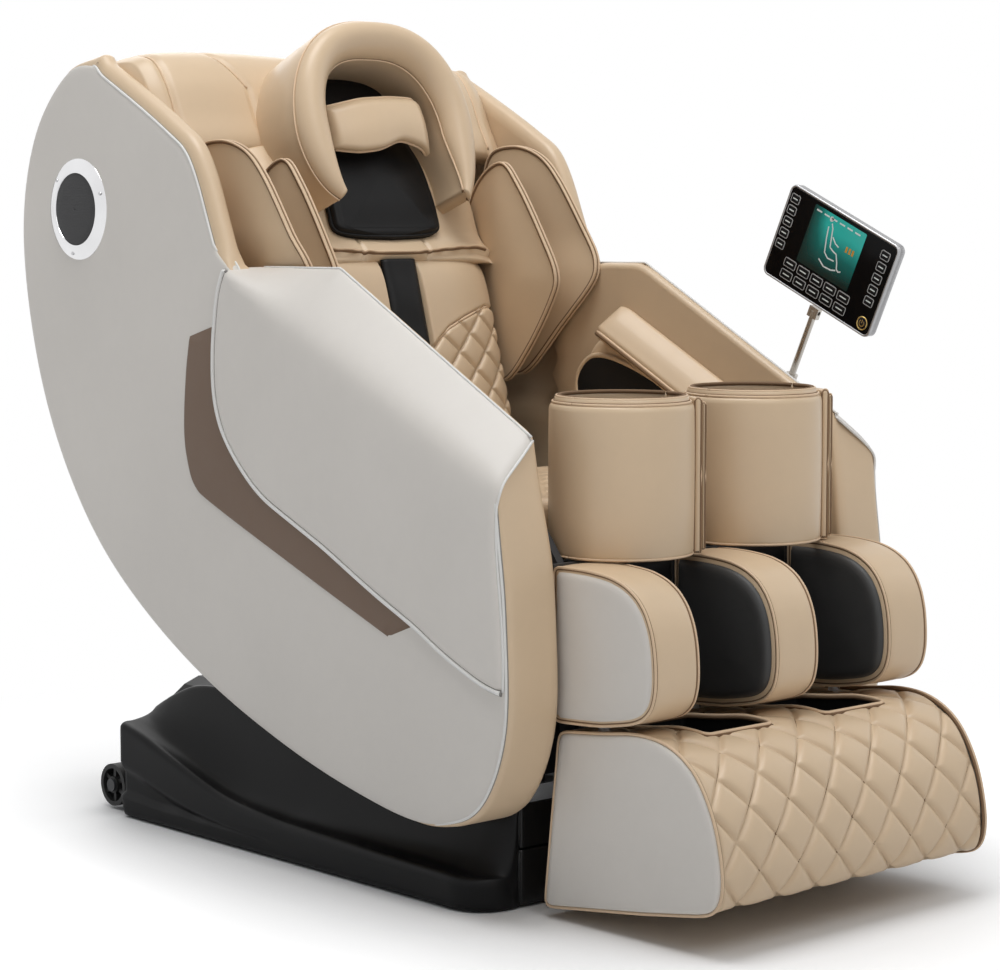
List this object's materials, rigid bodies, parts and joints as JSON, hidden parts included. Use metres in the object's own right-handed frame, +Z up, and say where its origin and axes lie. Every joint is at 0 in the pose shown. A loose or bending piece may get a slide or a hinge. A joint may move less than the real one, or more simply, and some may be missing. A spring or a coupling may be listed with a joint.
{
  "type": "massage chair",
  "caption": "Padded reclining massage chair: cabin on a cradle base, lifting leg rest with foot rest, knee wraps, head hood and a remote on a pole.",
  "frame": {"origin": "on the floor, in the middle of the width and of the depth", "axes": "+Z up, the chair faces -Y, +X is the sitter's left"},
  "size_m": [0.756, 1.401, 1.2146],
  "materials": {
    "tan_leather": "soft sheen",
    "grey_leather": "soft sheen",
    "brown_leather": "soft sheen",
    "black_leather": "matt",
    "painted_steel": "satin",
    "bright_steel": "brushed",
    "chrome": "polished",
    "rubber": "matt",
    "base_plastic": "satin",
    "switch_plastic": "gloss",
    "gloss_black": "gloss"
  },
  "bodies": {
    "base": {"base_frame": "painted_steel", "base_feet": "rubber", "base_skirt_left": "base_plastic", "base_skirt_right": "base_plastic", "base_front_cover": "base_plastic", "base_rear_cover": "base_plastic", "power_inlet": "base_plastic", "power_unit": "bright_steel", "air_pump": "base_plastic"},
    "rocker": {"power_switch": "switch_plastic"},
    "wheel_left": {"transport_wheel_left": "base_plastic"},
    "wheel_right": {"transport_wheel_right": "base_plastic"},
    "front_roller_pair": {"front_rollers": "bright_steel"},
    "rear_roller_pair": {"rear_rollers": "bright_steel"},
    "recline_tube": {"recline_motor": "base_plastic"},
    "recline_piston": {"recline_rod": "bright_steel"},
    "cabin": {"seat_frame": "painted_steel", "tilt_rails": "bright_steel", "back_frame": "painted_steel", "rear_cover": "grey_leather", "side_shell_left": "tan_leather", "side_shell_right": "tan_leather", "arm_panel_left": "grey_leather", "arm_panel_right": "grey_leather", "shell_trims": "brown_leather", "speaker_rings": "chrome", "speaker_meshes": "base_plastic", "seat_cushion": "tan_leather", "back_cushion": "tan_leather", "spine_strip": "black_leather", "upper_back_pad": "tan_leather", "neck_pad": "black_leather", "head_pillow": "tan_leather", "hood": "tan_leather", "shoulder_pads_left": "tan_leather", "shoulder_pads_right": "tan_leather", "arm_linings": "tan_leather", "arm_planks": "tan_leather", "arm_airbags": "black_leather", "massage_rails": "bright_steel", "pole_socket": "chrome"},
    "carriage": {"massage_carriage": "base_plastic"},
    "kneading": {"kneading_rollers": "tan_leather"},
    "leg_tube": {"leg_motor": "base_plastic"},
    "leg_piston": {"leg_rod": "bright_steel"},
    "leg_rest": {"calf_frame": "painted_steel", "calf_dividers": "tan_leather", "calf_pads": "black_leather", "knee_wrap_left": "tan_leather", "knee_wrap_right": "tan_leather"},
    "flap_left": {"knee_flap_left": "tan_leather"},
    "flap_right": {"knee_flap_right": "tan_leather"},
    "foot_rest": {"foot_cover": "tan_leather", "foot_side_panels": "grey_leather", "foot_wells": "black_leather", "foot_slide_rods": "bright_steel"},
    "pole": {"remote_pole": "chrome"},
    "remote": {"remote_case": "chrome", "remote_screen": "gloss_black"}
  },
  "joints": [
    {"name": "cabin_tilt", "type": "hinge", "parent": "base", "child": "cabin", "pos_m": [0, -0.05, 1], "axis": [-1, 0, 0], "range_deg": [0, 25]},
    {"name": "front_roller_turn", "type": "hinge", "parent": "base", "child": "front_roller_pair", "pos_m": [0, -0.17754, 0.19474], "axis": [1, 0, 0], "range_deg": [0, 791]},
    {"name": "rear_roller_turn", "type": "hinge", "parent": "base", "child": "rear_roller_pair", "pos_m": [0, 0.09158, 0.19709], "axis": [1, 0, 0], "range_deg": [0, 791]},
    {"name": "recline_swing", "type": "hinge", "parent": "base", "child": "recline_tube", "pos_m": [-0.035, 0.33, 0.095], "axis": [1, 0, 0], "range_deg": [0, 4.62]},
    {"name": "recline_stroke", "type": "slide", "parent": "recline_tube", "child": "recline_piston", "axis": [0, -0.8775, 0.4796], "range_m": [0, 0.2879]},
    {"name": "leg_lift", "type": "hinge", "parent": "cabin", "child": "leg_rest", "pos_m": [0, -0.285, 0.565], "axis": [-1, 0, 0], "range_deg": [0, 80]},
    {"name": "leg_tube_swing", "type": "hinge", "parent": "cabin", "child": "leg_tube", "pos_m": [0.035, 0.06, 0.252], "axis": [-1, 0, 0], "range_deg": [0, 1.69]},
    {"name": "leg_stroke", "type": "slide", "parent": "leg_tube", "child": "leg_piston", "axis": [0, -0.8768, 0.4809], "range_m": [0, 0.1714]},
    {"name": "foot_extension", "type": "slide", "parent": "leg_rest", "child": "foot_rest", "axis": [0, 0, -1], "range_m": [0, 0.1205]},
    {"name": "flap_left_swing", "type": "hinge", "parent": "leg_rest", "child": "flap_left", "pos_m": [0.03, -0.381, 0.578], "axis": [0, 0, -1], "range_deg": [0, 70]},
    {"name": "flap_right_swing", "type": "hinge", "parent": "leg_rest", "child": "flap_right", "pos_m": [-0.224, -0.381, 0.578], "axis": [0, 0, -1], "range_deg": [0, 70]},
    {"name": "carriage_travel", "type": "slide", "parent": "cabin", "child": "carriage", "axis": [0, 0.2706, 0.9627], "range_m": [0, 0.28]},
    {"name": "kneading_turn", "type": "hinge", "parent": "carriage", "child": "kneading", "pos_m": [0, 0.26294, 0.62413], "axis": [1, 0, 0], "continuous": true},
    {"name": "pole_swivel", "type": "hinge", "parent": "cabin", "child": "pole", "pos_m": [0.326, -0.272, 0.68], "axis": [0, -0.4163, 0.9092], "range_deg": [-60, 60]},
    {"name": "remote_tilt", "type": "hinge", "parent": "pole", "child": "remote", "pos_m": [0.326, -0.31946, 0.78365], "axis": [0, 0.9092, 0.4163], "range_deg": [-30, 30]},
    {"name": "wheel_left_roll", "type": "hinge", "parent": "base", "child": "wheel_left", "pos_m": [0.299, 0.555, 0.038], "axis": [1, 0, 0], "continuous": true},
    {"name": "wheel_right_roll", "type": "hinge", "parent": "base", "child": "wheel_right", "pos_m": [-0.299, 0.555, 0.038], "axis": [1, 0, 0], "continuous": true},
    {"name": "rocker_tip", "type": "hinge", "parent": "base", "child": "rocker", "pos_m": [0.02, 0.5, 0.085], "axis": [-1, 0, 0], "range_deg": [0, 24]}
  ],
  "couplings": [
    {"joint": "front_roller_turn", "follows": "cabin_tilt", "ratio": 31.6},
    {"joint": "rear_roller_turn", "follows": "cabin_tilt", "ratio": 31.6},
    {"joint": "recline_swing", "follows": "cabin_tilt", "ratio": 0.17692},
    {"joint": "recline_stroke", "follows": "cabin_tilt", "m_per_rad": 0.65755},
    {"joint": "leg_tube_swing", "follows": "leg_lift", "ratio": 0.01862},
    {"joint": "leg_stroke", "follows": "leg_lift", "m_per_rad": 0.12203},
    {"joint": "foot_extension", "follows": "leg_lift", "m_per_rad": 0.086}
  ]
}
